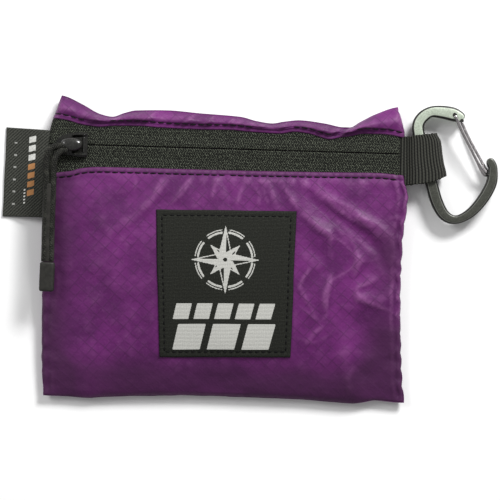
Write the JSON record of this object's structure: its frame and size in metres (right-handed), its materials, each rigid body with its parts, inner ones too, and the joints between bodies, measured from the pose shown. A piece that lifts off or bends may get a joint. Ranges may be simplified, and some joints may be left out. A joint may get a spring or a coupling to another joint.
{
  "type": "zippered stuff sack",
  "caption": "Small flat zippered ripstop pouch with a corded zip pull, woven patch, side flag label and a webbing loop that carries a mini wire-gate carabiner.",
  "frame": {"origin": "middle of the pouch's flat back face", "axes": "+X along the zipper towards the carabiner, +Y towards the top edge, +Z out of the front face"},
  "size_m": [0.1981, 0.1211, 0.0135],
  "materials": {
    "ripstop": "silicone-coated purple ripstop nylon, satin sheen",
    "zipper_tape": "black woven polyester tape",
    "zipper_coil": "black monofilament coil",
    "thread": "black bonded thread",
    "slider_enamel": "gloss black enamel on die-cast zinc",
    "pull_braid": "black braided cord",
    "pull_tube": "black heat-shrink tube, satin",
    "patch_weave": "black damask-woven label with pale grey motif",
    "label_twill": "black twill-woven label with pale and copper bars",
    "webbing": "black ribbed grosgrain webbing",
    "carabiner_anodised": "grey anodised aluminium",
    "gate_steel": "polished stainless spring wire"
  },
  "bodies": {
    "pouch": {"back_panel": "ripstop", "left_side_seam": "ripstop", "right_side_seam": "ripstop", "bottom_seam": "ripstop", "upper_front_panel": "ripstop", "upper_tape": "zipper_tape", "upper_coil": "zipper_coil", "upper_topstitch": "thread"},
    "front": {"front_panel": "ripstop", "lower_tape": "zipper_tape", "lower_coil": "zipper_coil", "lower_topstitch": "thread", "label_patch": "patch_weave", "patch_stitching": "thread"},
    "slider": {"slider_body": "slider_enamel", "slider_crown": "slider_enamel"},
    "pull": {"pull_cord": "pull_braid", "pull_sleeve": "pull_tube", "pull_end": "pull_tube"},
    "label": {"side_label": "label_twill"},
    "loop": {"webbing_loop": "webbing"},
    "carabiner": {"carabiner_frame": "carabiner_anodised"},
    "gate": {"gate_wire": "gate_steel"}
  },
  "joints": [
    {"name": "slider_travel", "type": "slide", "parent": "pouch", "child": "slider", "axis": [1, 0, 0], "range_m": [0, 0.118]},
    {"name": "mouth", "type": "hinge", "parent": "pouch", "child": "front", "pos_m": [0, -0.057, 0.003], "axis": [1, 0, 0], "range_deg": [0, 15], "deforming": ["front_panel", "lower_tape", "lower_coil", "lower_topstitch"]},
    {"name": "pull_swing", "type": "hinge", "parent": "slider", "child": "pull", "pos_m": [-0.064, 0.042, 0.0089], "axis": [-1, 0, 0], "range_deg": [0, 150]},
    {"name": "label_lift", "type": "hinge", "parent": "pouch", "child": "label", "pos_m": [-0.0738, 0, 0.0036], "axis": [0, 1, 0], "range_deg": [0, 90]},
    {"name": "loop_flex", "type": "hinge", "parent": "pouch", "child": "loop", "pos_m": [0.0723, 0.0393, 0.0039], "axis": [0, -1, 0], "range_deg": [0, 45]},
    {"name": "carabiner_swing", "type": "hinge", "parent": "loop", "child": "carabiner", "pos_m": [0.07847, 0.04062, 0.0039], "axis": [0.279, -0.9603, 0], "range_deg": [0, 90]},
    {"name": "gate_press", "type": "hinge", "parent": "carabiner", "child": "gate", "pos_m": [0.09139, 0.05708, 0.0039], "axis": [0, 0, -1], "range_deg": [0, 25], "stiffness_Nm_per_rad": 0.01, "springref_deg": -5.73}
  ],
  "couplings": [
    {"joint": "mouth", "follows": "slider_travel", "rad_per_m": 2.2186}
  ]
}
